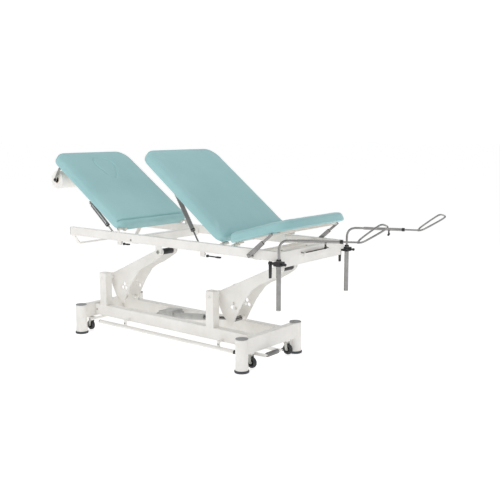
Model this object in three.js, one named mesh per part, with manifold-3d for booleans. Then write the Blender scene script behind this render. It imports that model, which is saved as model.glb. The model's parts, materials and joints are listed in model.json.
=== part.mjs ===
// Three-section examination couch on an electric parallelogram lift.
// Millimetres, +Z up, +X towards the foot end with the stirrups, +Y towards the back.
import * as THREE from 'three';
import { mergeVertices } from 'three/addons/utils/BufferGeometryUtils.js';
import Module from 'manifold-3d';

const wasm = await Module();
wasm.setup();

// ---------- driving dimensions ----------
const GAP = 0.3;                 // running gap between touching pieces
const DEG = Math.PI / 180;

const PAD_WIDTH = 620;
const PAD_THICK = 55;
const PAD_CORNER = 95;           // plan radius of a pad's corners
const PAD_EDGE = 18;             // round of a pad's edges
const BOARD_THICK = 10;
const BOARD_WIDTH = 510;

// hinge: axis in X and Z; lift: pad underside above the axis; past: how far the pad runs past it
const HEAD = { hinge: [-246, 722], lift: -14, past: 12, length: 767, angle: 34, side: -1 };
const BACK = { hinge: [548, 700], lift: 12, past: 8, length: 772, angle: 36.8, side: -1 };
const SEAT = { hinge: [627, 700], lift: 12, past: 8, length: 412, angle: 15.3, side: 1 };

const BASE_HALF_LENGTH = 675;    // column centres
const BASE_HALF_WIDTH = 251;
const COLUMN_RADIUS = 36;
const COLUMN_TOP = 188;
const RING_HEIGHT = 14;
const RAIL_INNER = 98;           // base rails, inner and outer faces from the middle
const RAIL_OUTER = 148;
const RAIL_BOTTOM = 110;
const RAIL_TOP = 180;
const POST_TOP = 392;
const POST_WIDTH = 60;

const ARM_LENGTH = 485;          // pivot to pivot
const ARM_ANGLE = 25;
const ARM_HALF_WIDTH = 62.5;
const ARM_SHEET = 4;
const LOWER_PIVOT_Z = 358;
const LOWER_PIVOT_X = [-577, 350];
const LOBE_PIN = [88, -140];     // from the lower pivot
const ACTUATOR_REAR = [-220, 140];

const FRAME_TOP = 700;
const FRAME_BOTTOM = 650;
const FRAME_OUTER = 299;
const FRAME_TUBE = 30;
const FRAME_HEAD_X = -697;
const FRAME_FOOT_X = 972;
const GUIDE_REACH = 140;         // how far the basin guides run in under the seat

const WHEEL_RADIUS = 32;
const WHEEL_Z = 38;
const CASTOR_Y = 170;
const CARRIER_X = 634;
const CARRIER_Z = 88;

const STIRRUP_X = 977;
const STIRRUP_Y = 323;
const STIRRUP_TURN = { front: 27, back: 21.5 };
const STIRRUP_ARM_Z = 767;
const STIRRUP_TUBE_TOP = 660;
const CLAMP_HALF = 20;          // half length of a clamp along the rail
const CLAMP_RISE = 11;          // half height of a clamp

const SPRING_HEAD = { at: [328, -55], foot: [-276, 635], y: -252, body: 205, radius: 13 };
const SPRING_BACK = { at: [480, -19.4], foot: [370, 622], y: -215, body: 265, radius: 13 };
const STRUT = { foot: [775, 668], at: [301.5, 6], y: 310 };

// ---------- materials ----------
const finish = (color, roughness, metalness) =>
  new THREE.MeshStandardMaterial({ color, roughness, metalness });
const whitePaint = finish(0xeeece8, 0.4, 0.1);
const vinyl = finish(0x9bc3c6, 0.55, 0);
const plywood = finish(0xb79b74, 0.8, 0);
const chrome = finish(0xc8c9cb, 0.18, 1);
const springSteel = finish(0xa9abad, 0.35, 0.9);
const blackPlastic = finish(0x1a1a1b, 0.5, 0);
const greyPlastic = finish(0x8d9091, 0.6, 0);
const darkRubber = finish(0x4b4e50, 0.85, 0);
const tyreRubber = finish(0x222324, 0.9, 0);
const zincPlate = finish(0xb3b3ae, 0.4, 0.8);
const paper = finish(0xf3f2ee, 0.95, 0);

// ---------- shape helpers ----------
function toSolid(geometry) {
  const bare = geometry.clone();
  bare.deleteAttribute('normal');
  bare.deleteAttribute('uv');
  const merged = mergeVertices(bare, 1e-4);
  return new wasm.Manifold(new wasm.Mesh({
    numProp: 3,
    vertProperties: Float32Array.from(merged.attributes.position.array),
    triVerts: Uint32Array.from(merged.index.array),
  }));
}

function toGeometry(solid) {
  const mesh = solid.getMesh();
  const geometry = new THREE.BufferGeometry();
  geometry.setAttribute('position', new THREE.BufferAttribute(mesh.vertProperties, 3));
  geometry.setIndex(new THREE.BufferAttribute(mesh.triVerts, 1));
  geometry.computeVertexNormals();
  return geometry;
}

function join(first, ...others) {
  return toGeometry(others.reduce((sum, part) => sum.add(toSolid(part)), toSolid(first)));
}

function cut(body, ...tools) {
  return toGeometry(tools.reduce((rest, tool) => rest.subtract(toSolid(tool)), toSolid(body)));
}

function box(x, y, z) {
  const geometry = new THREE.BoxGeometry(x[1] - x[0], y[1] - y[0], z[1] - z[0]);
  return geometry.translate((x[0] + x[1]) / 2, (y[0] + y[1]) / 2, (z[0] + z[1]) / 2);
}

// a cylinder between two values of one axis, centred on the other two coordinates
function cylinder(axis, radius, span, centre, sides = 16) {
  const geometry = new THREE.CylinderGeometry(radius, radius, span[1] - span[0], sides);
  const middle = (span[0] + span[1]) / 2;
  if (axis === 'x') {
    return geometry.rotateZ(-Math.PI / 2).translate(middle, centre[0], centre[1]);
  }
  if (axis === 'y') {
    return geometry.translate(centre[0], middle, centre[1]);
  }
  return geometry.rotateX(Math.PI / 2).translate(centre[0], centre[1], middle);
}

// a flat shape in the XZ plane, made thick along Y
function sheet(points, y) {
  const shape = new THREE.Shape(points.map(([px, pz]) => new THREE.Vector2(px, pz)));
  const geometry = new THREE.ExtrudeGeometry(shape, { depth: y[1] - y[0], bevelEnabled: false });
  return geometry.rotateX(Math.PI / 2).translate(0, y[1], 0);
}

function smooth(points, count) {
  const curve = new THREE.SplineCurve(points.map(([px, pz]) => new THREE.Vector2(px, pz)));
  return curve.getPoints(count).map((p) => [p.x, p.y]);
}

function rod(path, radius, steps, sides = 10) {
  const section = new THREE.Shape();
  section.absarc(0, 0, radius, 0, 2 * Math.PI, false);
  return new THREE.ExtrudeGeometry(section, {
    steps, extrudePath: path, bevelEnabled: false, curveSegments: sides / 2,
  });
}

function lathe(profile, sides = 20) {
  const points = profile.map(([r, z]) => new THREE.Vector2(r, z));
  return new THREE.LatheGeometry(points, sides).rotateX(Math.PI / 2);
}

const couch = new THREE.Group();

function add(name, geometry, material, parent = couch) {
  const mesh = new THREE.Mesh(geometry, material);
  mesh.name = name;
  parent.add(mesh);
  return mesh;
}

function groupAt(x, y, z, parent = couch) {
  const group = new THREE.Group();
  group.position.set(x, y, z);
  parent.add(group);
  return group;
}

// ---------- base ----------
function baseRail(name, side) {
  const inner = side * RAIL_INNER;
  const outer = side * RAIL_OUTER;
  const y = [Math.min(inner, outer), Math.max(inner, outer)];
  const reach = BASE_HALF_LENGTH - 16 - GAP;
  const posts = LOWER_PIVOT_X.map((x) =>
    box([x - POST_WIDTH / 2, x + POST_WIDTH / 2], y, [RAIL_BOTTOM + 10, POST_TOP]));
  const stub = [side * 29, side * (RAIL_INNER + 5)].sort((a, b) => a - b);
  const actuatorPin = cylinder('y', 10, stub, ACTUATOR_REAR);
  const body = join(box([-reach, reach], y, [RAIL_BOTTOM, RAIL_TOP]), ...posts, actuatorPin);
  const bores = LOWER_PIVOT_X.map((x) => {
    const span = [side * (RAIL_INNER - 10), side * (RAIL_INNER + 30)].sort((a, b) => a - b);
    return cylinder('y', 14.5, span, [x, LOWER_PIVOT_Z]);
  });
  add(name, cut(body, ...bores), whitePaint);
}

function baseEnd(name, side) {
  const centre = side * (BASE_HALF_LENGTH + 5);
  const beam = box([centre - 20, centre + 20], [-BASE_HALF_WIDTH, BASE_HALF_WIDTH], [98, 186]);
  const columns = [-1, 1].map((end) => {
    const column = lathe([
      [0, RING_HEIGHT + GAP], [COLUMN_RADIUS + 2, RING_HEIGHT + GAP], [COLUMN_RADIUS, 50],
      [COLUMN_RADIUS, COLUMN_TOP - 3], [COLUMN_RADIUS - 3, COLUMN_TOP], [0, COLUMN_TOP],
    ]);
    return column.translate(side * BASE_HALF_LENGTH, end * BASE_HALF_WIDTH, 0);
  });
  add(name, join(beam, ...columns), whitePaint);
}

function footRing(name, x, y) {
  const ring = lathe([[0, 0], [40, 0], [42, 4], [42, 10], [40, RING_HEIGHT], [0, RING_HEIGHT]]);
  add(name, ring.translate(x, y, 0), darkRubber);
}

// a foot bar hung along the front rail, free to rock a few degrees about its hangers' tops
function controlBar() {
  const y = -185;
  const rockGap = 1;
  const bar = cylinder('x', 12.5, [-567, 567], [y, 80]);
  const hangers = [-330, 450].map((x) =>
    join(
      box([x - 9, x + 9], [y - 4, y + 4], [80, 124]),
      box([x - 9, x + 9], [y, -RAIL_OUTER - rockGap], [116, 124]),
    ));
  add('control_bar', join(bar, ...hangers), whitePaint);
}

baseRail('base_rail_front', -1);
baseRail('base_rail_back', 1);
baseEnd('base_end_head', -1);
baseEnd('base_end_foot', 1);
for (const [endName, end] of [['head', -1], ['foot', 1]]) {
  for (const [sideName, side] of [['front', -1], ['back', 1]]) {
    footRing(`foot_ring_${endName}_${sideName}`, end * BASE_HALF_LENGTH, side * BASE_HALF_WIDTH);
  }
}
controlBar();

// ---------- retractable castors ----------
function castorCarrier(end) {
  const shaft = cylinder('y', 9, [-205, 205], [end * CARRIER_X, CARRIER_Z]);
  const lugs = [-1, 1].map((side) => {
    const x = [end * (CARRIER_X - 2), end * (CARRIER_X + 52)].sort((a, b) => a - b);
    return box(x, [side * CASTOR_Y - 14, side * CASTOR_Y + 14], [84, 94]);
  });
  if (end < 0) {
    return join(shaft, ...lugs);
  }
  const pedalX = CARRIER_X + 113;
  const arms = [-137, -2].map((y) =>
    box([CARRIER_X, pedalX + 5], [y - 3, y + 3], [72, 90]));
  const bar = cylinder('y', 6, [-140, 22], [pedalX, 81]);
  return join(shaft, ...lugs, ...arms, bar);
}

function castor(tag, end, side) {
  const x = end * (CARRIER_X + 38);
  const y = side * CASTOR_Y;
  const trail = end * 8;
  const legs = [-1, 1].map((half) => {
    const inner = y + half * 12;
    const outer = y + half * 15;
    return sheet(
      [[x - 12, 80], [x + 12, 80], [x + trail + 8, 32], [x + trail - 8, 32]],
      [Math.min(inner, outer), Math.max(inner, outer)],
    );
  });
  const crown = box([x - 14, x + 14], [y - 15, y + 15], [77, 84 - GAP]);
  const axle = cylinder('y', 4, [y - 15, y + 15], [x + trail, WHEEL_Z], 16);
  add(`castor_fork_${tag}`, join(crown, ...legs, axle), zincPlate);

  const half = 10;
  const profile = [
    [4.5, -half], [WHEEL_RADIUS - 4, -half], [WHEEL_RADIUS, -half + 4],
    [WHEEL_RADIUS, half - 4], [WHEEL_RADIUS - 4, half], [4.5, half], [4.5, -half],
  ];
  const wheel = lathe(profile, 20).rotateX(Math.PI / 2).translate(x + trail, y, WHEEL_Z);
  add(`castor_wheel_${tag}`, wheel, tyreRubber);
}

add('castor_carrier_head', castorCarrier(-1), whitePaint);
add('castor_carrier_foot', castorCarrier(1), whitePaint);
for (const [endName, end] of [['head', -1], ['foot', 1]]) {
  for (const [sideName, side] of [['front', -1], ['back', 1]]) {
    castor(`${endName}_${sideName}`, end, side);
  }
}

// ---------- lift ----------
const armRise = [
  ARM_LENGTH * Math.cos(ARM_ANGLE * DEG),
  ARM_LENGTH * Math.sin(ARM_ANGLE * DEG),
];
const upperPivot = (index) => [LOWER_PIVOT_X[index] + armRise[0], LOWER_PIVOT_Z + armRise[1]];

function trefoil(centre, y, radius = 11, spread = 17) {
  return [90, 210, 330].map((turn) => cylinder('y', radius, y, [
    centre[0] + spread * Math.cos(turn * DEG),
    centre[1] + spread * Math.sin(turn * DEG),
  ], 14));
}

function liftArm(name, index) {
  const edge = smooth(
    [[460, 185], [375, 132], [268, 80], [226, 35], [188, -12], [150, -75], [116, -136]], 10);
  const outline = [
    [-9, 20], [armRise[0] - 9, armRise[1] + 20], ...edge,
    [100, -166], [84, -168], [30, -120], [-22, -22],
  ];
  const inner = ARM_HALF_WIDTH - ARM_SHEET;
  const plates = [-1, 1].map((side) => {
    const y = [side * inner, side * ARM_HALF_WIDTH].sort((a, b) => a - b);
    const discs = [[0, 0, 28], [armRise[0], armRise[1], 25]];
    return join(
      sheet(outline, y),
      ...discs.map(([x, z, r]) => cylinder('y', r, y, [x, z], 20)),
    );
  });
  const lowerTube = cylinder('y', 22, [-inner - 1, inner + 1], [0, 0]);
  const lowerShaft = cylinder('y', 14, [-RAIL_INNER - 24, RAIL_INNER + 24], [0, 0]);
  const upperRings = [-1, 1].map((side) => {
    const y = [side * (inner - 12), side * (inner + 1)].sort((a, b) => a - b);
    return cylinder('y', 22, y, armRise, 20);
  });
  const lobePins = [-1, 1].map((side) => {
    const y = [side * 29, side * (inner + 1)].sort((a, b) => a - b);
    return cylinder('y', 10, y, LOBE_PIN);
  });
  const body = join(...plates, lowerTube, lowerShaft, ...upperRings, ...lobePins);
  const across = [-ARM_HALF_WIDTH - 5, ARM_HALF_WIDTH + 5];
  // the foot arm's bore is wider: its pivot is the play in the parallelogram
  const upperBore = index === 0 ? 13.3 : 14.5;
  const arm = cut(
    body, cylinder('y', upperBore, across, armRise, 20), ...trefoil([112, -52], across));
  const mesh = add(name, arm, whitePaint);
  mesh.position.set(LOWER_PIVOT_X[index], 0, LOWER_PIVOT_Z);
}

function actuator() {
  const pin = [LOWER_PIVOT_X[1] + LOBE_PIN[0], LOWER_PIVOT_Z + LOBE_PIN[1]];
  const run = [pin[0] - ACTUATOR_REAR[0], pin[1] - ACTUATOR_REAR[1]];
  const length = Math.hypot(...run);
  const group = groupAt(ACTUATOR_REAR[0], 0, ACTUATOR_REAR[1]);
  group.rotation.y = -Math.atan2(run[1], run[0]);
  const tube = cylinder('x', 20, [0, 400], [0, 0]);
  const motor = box([30, 150], [-24, 70], [-24, 34]);
  const rearBlock = cylinder('y', 16, [-26, 26], [0, 0]);
  const inlet = box([150, 172], [30, 60], [-8, 18]);
  const body = cut(
    join(tube, motor, rearBlock, inlet),
    cylinder('x', 11.6, [160, 410], [0, 0]),
    box([164, 180], [35, 55], [-3, 13]),
  );
  add('actuator_body', body, greyPlastic, group);
  const rodShaft = cylinder('x', 11, [280, length], [0, 0]);
  const rodEnd = cylinder('y', 15, [-26, 26], [length, 0]);
  add('actuator_rod', join(rodShaft, rodEnd), chrome, group);
}

liftArm('lift_arm_head', 0);
liftArm('lift_arm_foot', 1);
actuator();

// ---------- upper frame ----------
function crossMember(name, index) {
  const [x, z] = upperPivot(index);
  const inside = FRAME_OUTER - FRAME_TUBE - GAP;
  const beam = box([x - 25, x + 25], [-inside, inside], [640, 684]);
  const lugs = [-1, 1].map((side) => {
    const y = [side * 66, side * 74].sort((a, b) => a - b);
    return join(
      box([x - 24, x + 24], y, [z, 645]),
      cylinder('y', 24, y, [x, z], 20),
    );
  });
  const shaft = cylinder('y', 13, [-78, 78], [x, z], 20);
  add(name, join(beam, ...lugs, shaft), whitePaint);
}

function frameRail(name, side) {
  const outer = side * FRAME_OUTER;
  const inner = side * (FRAME_OUTER - FRAME_TUBE);
  const span = (a, b) => [Math.min(a, b), Math.max(a, b)];
  const tube = box([FRAME_HEAD_X, FRAME_FOOT_X], span(inner, outer), [FRAME_BOTTOM, FRAME_TOP]);
  const knuckles = [BACK, SEAT].map((section) =>
    cylinder('y', 7, span(side * 261, inner + side * 4), section.hinge, 20));
  const [headX, headZ] = HEAD.hinge;
  const headLug = join(
    box([headX - 7, headX + 7], span(outer, outer - side * 5), [FRAME_TOP - 5, headZ]),
    cylinder('y', 7, span(outer, outer - side * 5), HEAD.hinge, 20),
  );
  const strutPin = cylinder('y', 5, span(outer - side * 2, outer + side * 4.7), STRUT.foot, 16);
  const parts = [tube, ...knuckles, headLug, strutPin];
  if (side < 0) {
    for (const spring of [SPRING_HEAD, SPRING_BACK]) {
      const [x, z] = spring.foot;
      const near = spring.y - 8;
      parts.push(box([x - 16, x + 16], [near - 6, near], [z - 14, 672]));
      parts.push(box([x - 16, x + 16], [inner - 2, near], [656, 672]));
    }
  }
  add(name, join(...parts), whitePaint);
}

// a flat bar below the head end, with a leg slanting up to each rail
function headStrap() {
  const x = [FRAME_HEAD_X + 5, FRAME_HEAD_X + 35];
  const top = FRAME_BOTTOM - GAP;
  const bar = box(x, [-252, 252], [590, 596]);
  const legs = [-1, 1].map((side) => {
    const corners = [[250, 590], [256, 596], [297, top], [289, top], [249, 596]];
    const shape = new THREE.Shape(corners.map(([y, z]) => new THREE.Vector2(side * y, z)));
    return new THREE.ExtrudeGeometry(shape, { depth: x[1] - x[0], bevelEnabled: false })
      .rotateX(Math.PI / 2).rotateZ(Math.PI / 2).translate(x[0], 0, 0);
  });
  add('frame_strap_head', join(bar, ...legs), whitePaint);
}

function footEnd() {
  const inside = FRAME_OUTER - FRAME_TUBE - GAP;
  const beam = box([FRAME_FOOT_X - 40, FRAME_FOOT_X], [-inside, inside], [618, FRAME_TOP]);
  const guides = [-1, 1].map((side) => {
    const y = [side * 112, side * 122].sort((a, b) => a - b);
    return box([FRAME_FOOT_X - GUIDE_REACH, FRAME_FOOT_X + 22], y, [664, 676]);
  });
  const front = box([FRAME_FOOT_X + 12, FRAME_FOOT_X + 22], [-115, 115], [664, 676]);
  const rear = box(
    [FRAME_FOOT_X - GUIDE_REACH, FRAME_FOOT_X - GUIDE_REACH + 10], [-115, 115], [664, 676]);
  add('frame_end_foot', join(beam, ...guides, front, rear), whitePaint);
}

crossMember('frame_cross_head', 0);
crossMember('frame_cross_foot', 1);
frameRail('frame_rail_front', -1);
frameRail('frame_rail_back', 1);
headStrap();
footEnd();

// ---------- pad sections ----------
// A section's group sits on its hinge. Its length runs along local -X or +X by its side.
function sectionGroup(section) {
  const group = groupAt(section.hinge[0], 0, section.hinge[1]);
  group.rotation.y = -section.side * section.angle * DEG;
  return group;
}

function roundedPlan(length, width, radius) {
  const shape = new THREE.Shape();
  const x = [0, length];
  const y = [-width / 2, width / 2];
  shape.absarc(x[1] - radius, y[0] + radius, radius, 1.5 * Math.PI, 2 * Math.PI);
  shape.absarc(x[1] - radius, y[1] - radius, radius, 0, 0.5 * Math.PI);
  shape.absarc(x[0] + radius, y[1] - radius, radius, 0.5 * Math.PI, Math.PI);
  shape.absarc(x[0] + radius, y[0] + radius, radius, Math.PI, 1.5 * Math.PI);
  return shape;
}

function padBody(section) {
  const inset = PAD_EDGE;
  const plan = roundedPlan(section.length - 2 * inset, PAD_WIDTH - 2 * inset, PAD_CORNER - inset);
  const geometry = new THREE.ExtrudeGeometry(plan, {
    depth: PAD_THICK - 2 * PAD_EDGE,
    bevelThickness: PAD_EDGE,
    bevelSize: PAD_EDGE,
    bevelSegments: 2,
    curveSegments: 3,
  });
  const start = section.side > 0 ? -section.past : section.past - section.length;
  return geometry.translate(start + inset, 0, section.lift + PAD_EDGE);
}

function boardSpan(section, grow) {
  const near = section.side * (12 - grow);
  const far = section.side * (section.length - 60 + grow);
  return [Math.min(near, far), Math.max(near, far)];
}

function boardPlate(section) {
  const half = BOARD_WIDTH / 2;
  return box(boardSpan(section, 0), [-half, half], [section.lift, section.lift + BOARD_THICK]);
}

// hinge leaves under the board, one each side
function lowLeaves(section) {
  return [-1, 1].map((side) => {
    const y = [side * 210, side * 260].sort((a, b) => a - b);
    const root = [section.side * 14, section.side * 40].sort((a, b) => a - b);
    const leaf = [section.side * -3, section.side * 40].sort((a, b) => a - b);
    return join(
      cylinder('y', 7, y, [0, 0], 20),
      box(leaf, [y[0] + 5, y[1] - 5], [2, section.lift - 2]),
      box(root, [y[0] + 5, y[1] - 5], [5, section.lift + 1]),
    );
  });
}

// the head section turns on side pins that run out of blocks inside its pad
function sidePins(grow) {
  return [-1, 1].map((side) => {
    const block = [side * (235 - grow), side * (254 + grow)].sort((a, b) => a - b);
    const pin = [side * 245, side * (293.5 + grow)].sort((a, b) => a - b);
    return join(
      box([-40 - grow, 10 + grow], block, [HEAD.lift + (grow > 0 ? -5 : 0), 9 + grow]),
      cylinder('y', 5 + grow, pin, [0, 0], 16),
    );
  });
}

// pocket in the pad's underside, a little larger than the board
function boardPocket(section) {
  const half = BOARD_WIDTH / 2 + GAP;
  return box(boardSpan(section, GAP), [-half, half],
    [section.lift - 5, section.lift + BOARD_THICK + GAP]);
}

const PLUG_CENTRE = [-570, 10];

// outline of the face plug, larger by grow
function plugShape(grow) {
  const corners = [[432, -14], [568, -60], [642, -44], [658, 15], [612, 85], [547, 73]];
  const curve = new THREE.CatmullRomCurve3(
    corners.map(([u, y]) => new THREE.Vector3(-u, y, 0)), true, 'catmullrom', 0.5);
  const centre = new THREE.Vector3(...PLUG_CENTRE, 0);
  const ring = curve.getPoints(24).slice(0, -1).map((p) => {
    const away = p.clone().sub(centre);
    return p.add(away.setLength(grow));
  });
  return new THREE.Shape(ring.map((p) => new THREE.Vector2(p.x, p.y)));
}

function plugBody(grow, low, high) {
  const shape = plugShape(grow);
  return new THREE.ExtrudeGeometry(shape, { depth: high - low, bevelEnabled: false })
    .translate(0, 0, low);
}

function springBracket(section, spring) {
  const [u, n] = spring.at;
  const root = section.lift;
  const y = [spring.y + 15, spring.y + 21];
  return join(
    box([-u - 12, -u + 12], y, [n - 10, root + 1]),
    cylinder('y', 5, [spring.y - 9, y[1]], [-u, n], 16),
    box([-u - 12, -u + 12], [y[0] - 4, y[1] + 12], [root - 3, root + 1]),
  );
}

const headGroup = sectionGroup(HEAD);
const plugTop = HEAD.lift + PAD_THICK;
const plugFloor = HEAD.lift + BOARD_THICK + 1;
add('head_pad', cut(
  padBody(HEAD), boardPocket(HEAD), ...sidePins(GAP), plugBody(0.8, plugFloor - 1.5, plugTop + 5),
), vinyl, headGroup);
add('face_plug', plugBody(0, plugFloor, plugTop - 1), vinyl, headGroup);
const breathingHole = cylinder(
  'z', 45, [HEAD.lift - 5, HEAD.lift + BOARD_THICK + 5], PLUG_CENTRE);
add('head_board', cut(
  join(boardPlate(HEAD), ...sidePins(0), springBracket(HEAD, SPRING_HEAD)), breathingHole,
), plywood, headGroup);

const backGroup = sectionGroup(BACK);
add('back_pad', cut(padBody(BACK), boardPocket(BACK)), vinyl, backGroup);
add('back_board', join(
  boardPlate(BACK), ...lowLeaves(BACK), springBracket(BACK, SPRING_BACK),
), plywood, backGroup);

const seatGroup = sectionGroup(SEAT);
const strutSpan = [STRUT.at[0] - 10, STRUT.at[0] + 10];
const strutPins = [-1, 1].map((side) => {
  const y = [side * 300, side * 303.5].sort((a, b) => a - b);
  return cylinder('y', 3.8, y, STRUT.at, 14);
});
add('seat_pad', cut(padBody(SEAT), boardPocket(SEAT)), vinyl, seatGroup);
add('seat_board', join(
  boardPlate(SEAT), ...lowLeaves(SEAT), ...strutPins,
  box(strutSpan, [-302, 302], [2, 10]),
  box(strutSpan, [-240, 240], [8, SEAT.lift + 1]),
), plywood, seatGroup);

// ---------- gas springs ----------
function sectionPoint(section, [u, n]) {
  const angle = section.angle * DEG;
  return [
    section.hinge[0] + section.side * (u * Math.cos(angle) - n * Math.sin(angle)),
    section.hinge[1] + u * Math.sin(angle) + n * Math.cos(angle),
  ];
}

function gasSpring(tag, section, spring) {
  const top = sectionPoint(section, spring.at);
  const run = [spring.foot[0] - top[0], spring.foot[1] - top[1]];
  const length = Math.hypot(...run);
  const group = groupAt(top[0], spring.y, top[1]);
  group.rotation.y = -Math.atan2(run[1], run[0]);
  const eye = join(
    cylinder('y', 10, [-5, 5], [0, 0], 20),
    cylinder('x', 7, [5, 30], [0, 0], 16),
  );
  const bodyTube = join(eye, cylinder('x', spring.radius, [22, spring.body], [0, 0]));
  const body = cut(
    bodyTube,
    cylinder('y', 5.3, [-8, 8], [0, 0], 16),
    cylinder('x', 5.6, [40, spring.body + 5], [0, 0], 16),
  );
  add(`${tag}_spring_body`, body, springSteel, group);
  const shaft = cylinder('x', 5, [Math.max(spring.body - 110, 60), length], [0, 0], 16);
  const rodEye = cylinder('y', 10, [-5, 5], [length, 0], 20);
  add(`${tag}_spring_rod`, join(shaft, rodEye), chrome, group);
}

gasSpring('head', HEAD, SPRING_HEAD);
gasSpring('back', BACK, SPRING_BACK);

// ---------- seat struts ----------
function seatStrut(tag, side) {
  const top = sectionPoint(SEAT, STRUT.at);
  const run = [top[0] - STRUT.foot[0], top[1] - STRUT.foot[1]];
  const length = Math.hypot(...run);
  const group = groupAt(STRUT.foot[0], side * STRUT.y, STRUT.foot[1]);
  group.rotation.y = -Math.atan2(run[1], run[0]);
  const channel = cut(
    box([-11, 118], [-6, 6], [-11, 11]),
    box([14, 130], [-3.8, 3.8], [-7.3, 7.3]),
    box([30, 40], [0, 10], [-3, 3]),
  );
  add(`seat_strut_channel_${tag}`, channel, chrome, group);
  const bar = box([62, length + 9], [-3.5, 3.5], [-7, 7]);
  add(`seat_strut_bar_${tag}`, bar, chrome, group);
}

seatStrut('front', -1);
seatStrut('back', 1);

// ---------- release levers ----------
function releaseLever(name, spring, reach) {
  const [x, z] = [spring.foot[0] + 30, spring.foot[1] - 8];
  const y = spring.y - 2;
  const group = groupAt(x, y, z);
  const hub = cylinder('y', 8, [-5, 5], [0, 0], 20);
  const blade = box([0, reach], [-4, 4], [-3, 3]);
  const grip = box([reach - 30, reach], [-8, 8], [-4, 4]);
  add(name, join(hub, blade, grip), blackPlastic, group);
}

releaseLever('head_release_lever', SPRING_HEAD, 45);
releaseLever('back_release_lever', SPRING_BACK, 95);

// ---------- paper roll ----------
function paperRoll() {
  const at = [-640, HEAD.lift - 90];
  const top = HEAD.lift - GAP;
  const armY = 296;
  const arms = [-1, 1].map((side) => {
    const y = [side * armY, side * (armY + 4)].sort((a, b) => a - b);
    const link = [side * 250, side * (armY + 4)].sort((a, b) => a - b);
    return join(
      box([at[0] - 9, at[0] + 9], y, [at[1], top]),
      cylinder('y', 11, y, at, 20),
      box([at[0] - 9, at[0] + 9], link, [top - 4, top]),
    );
  });
  const spindle = cylinder('y', 7, [-armY - 2, armY + 2], at, 20);
  const tie = box([at[0] - 9, at[0] + 9], [-255, 255], [top - 4, top]);
  add('roll_holder', join(spindle, tie, ...arms), zincPlate, headGroup);
  const half = 285;
  const profile = [[19, -half], [57, -half], [57, half], [19, half], [19, -half]];
  const roll = lathe(profile, 28).rotateX(Math.PI / 2).translate(at[0], 0, at[1]);
  add('paper_roll', roll, paper, headGroup);
}

paperRoll();

// ---------- stirrups ----------
function stirrupClamp(tag, side) {
  const group = groupAt(STIRRUP_X, side * STIRRUP_Y, 645);
  const inner = -side * (STIRRUP_Y - FRAME_OUTER - GAP);
  const y = [inner, side * 21].sort((a, b) => a - b);
  const block = join(
    box([-CLAMP_HALF, CLAMP_HALF], y, [-CLAMP_RISE, CLAMP_RISE]),
    cylinder('x', 5, [CLAMP_HALF - 4, 42], [side * 4, 0], 16),
    cylinder('x', 7.5, [38, 46], [side * 4, 0], 16),
  );
  add(`stirrup_clamp_${tag}`, cut(block, cylinder('z', 12.8, [-30, 30], [0, 0])), blackPlastic, group);
  const handle = join(
    cylinder('x', 7, [-54, -CLAMP_HALF - GAP], [side * 6, 0], 20),
    cylinder('x', 10, [-56, -42], [side * 6, 0], 20),
    sheet([[-55, 4], [-43, 4], [-45, -78], [-53, -78]], [side * 6 - 7, side * 6 + 7]),
  );
  add(`stirrup_clamp_lever_${tag}`, handle, blackPlastic, group);
}

function stirrupArm(tag, side) {
  const group = groupAt(STIRRUP_X, side * STIRRUP_Y, 0);
  group.rotation.z = STIRRUP_TURN[tag] * DEG;
  const bend = 55;
  const path = new THREE.CurvePath();
  const at = (x, z) => new THREE.Vector3(x, 0, z);
  const top = STIRRUP_ARM_Z;
  path.add(new THREE.LineCurve3(at(0, 520), at(0, top - bend)));
  path.add(new THREE.QuadraticBezierCurve3(at(0, top - bend), at(0, top), at(bend, top)));
  path.add(new THREE.LineCurve3(at(bend, top), at(110, top)));
  const tube = cut(
    cylinder('z', 12.5, [407, STIRRUP_TUBE_TOP], [0, 0]),
    cylinder('z', 6.9, [500, STIRRUP_TUBE_TOP + 8], [0, 0]),
  );
  add(`stirrup_tube_${tag}`, tube, chrome, group);
  const armTube = cylinder('x', 8.5, [95, 322], [0, top], 20);
  const knobBoss = cylinder('z', 5, [top - 14, top - 7], [235, 0], 16);
  const arm = cut(
    join(rod(path, 6.5, 20), armTube, knobBoss),
    cylinder('x', 5.4, [105, 330], [0, top], 16),
  );
  add(`stirrup_arm_${tag}`, arm, chrome, group);

  const knob = join(
    cylinder('z', 4.5, [top - 26, top - 14 - GAP], [235, 0], 16),
    cylinder('y', 6, [-19, 19], [235, top - 30], 16),
  );
  add(`stirrup_knob_${tag}`, knob, blackPlastic, group);
  add(`stirrup_footrest_${tag}`, footrest(top), chrome, group);
}

// a heel loop of bent rod on the end of a sliding rod, tilted up and turned a little outwards
function footrest(top) {
  const start = 400;
  const tilt = 32 * DEG;
  const turn = 19 * DEG;
  const plane = (p, q) => {
    const along = p * Math.cos(tilt);
    return new THREE.Vector3(
      start + along * Math.cos(turn) - q * Math.sin(turn),
      along * Math.sin(turn) + q * Math.cos(turn),
      top + p * Math.sin(tilt),
    );
  };
  const outline = [
    [0, 0], [12, 32], [56, 50], [126, 62], [151, 50], [156, 0],
    [151, -50], [126, -62], [56, -50], [12, -32],
  ];
  const loop = new THREE.CatmullRomCurve3(
    outline.map(([p, q]) => plane(p, q)), true, 'catmullrom', 0.5);
  const openLoop = new THREE.CatmullRomCurve3(loop.getPoints(80).slice(1, -1), false);
  const slider = cylinder('x', 5, [170, start + 3], [0, top], 12);
  const knot = new THREE.SphereGeometry(6.5, 10, 8).translate(start, 0, top);
  return join(slider, knot, rod(openLoop, 4.8, 34, 6));
}

for (const [tag, side] of [['front', -1], ['back', 1]]) {
  stirrupClamp(tag, side);
  stirrupArm(tag, side);
}

// ---------- origin: bottom centre of the couch's box ----------
const bounds = new THREE.Box3().setFromObject(couch);
couch.position.x = -(bounds.min.x + bounds.max.x) / 2;
couch.position.y = -(bounds.min.y + bounds.max.y) / 2;

export default couch;
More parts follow.
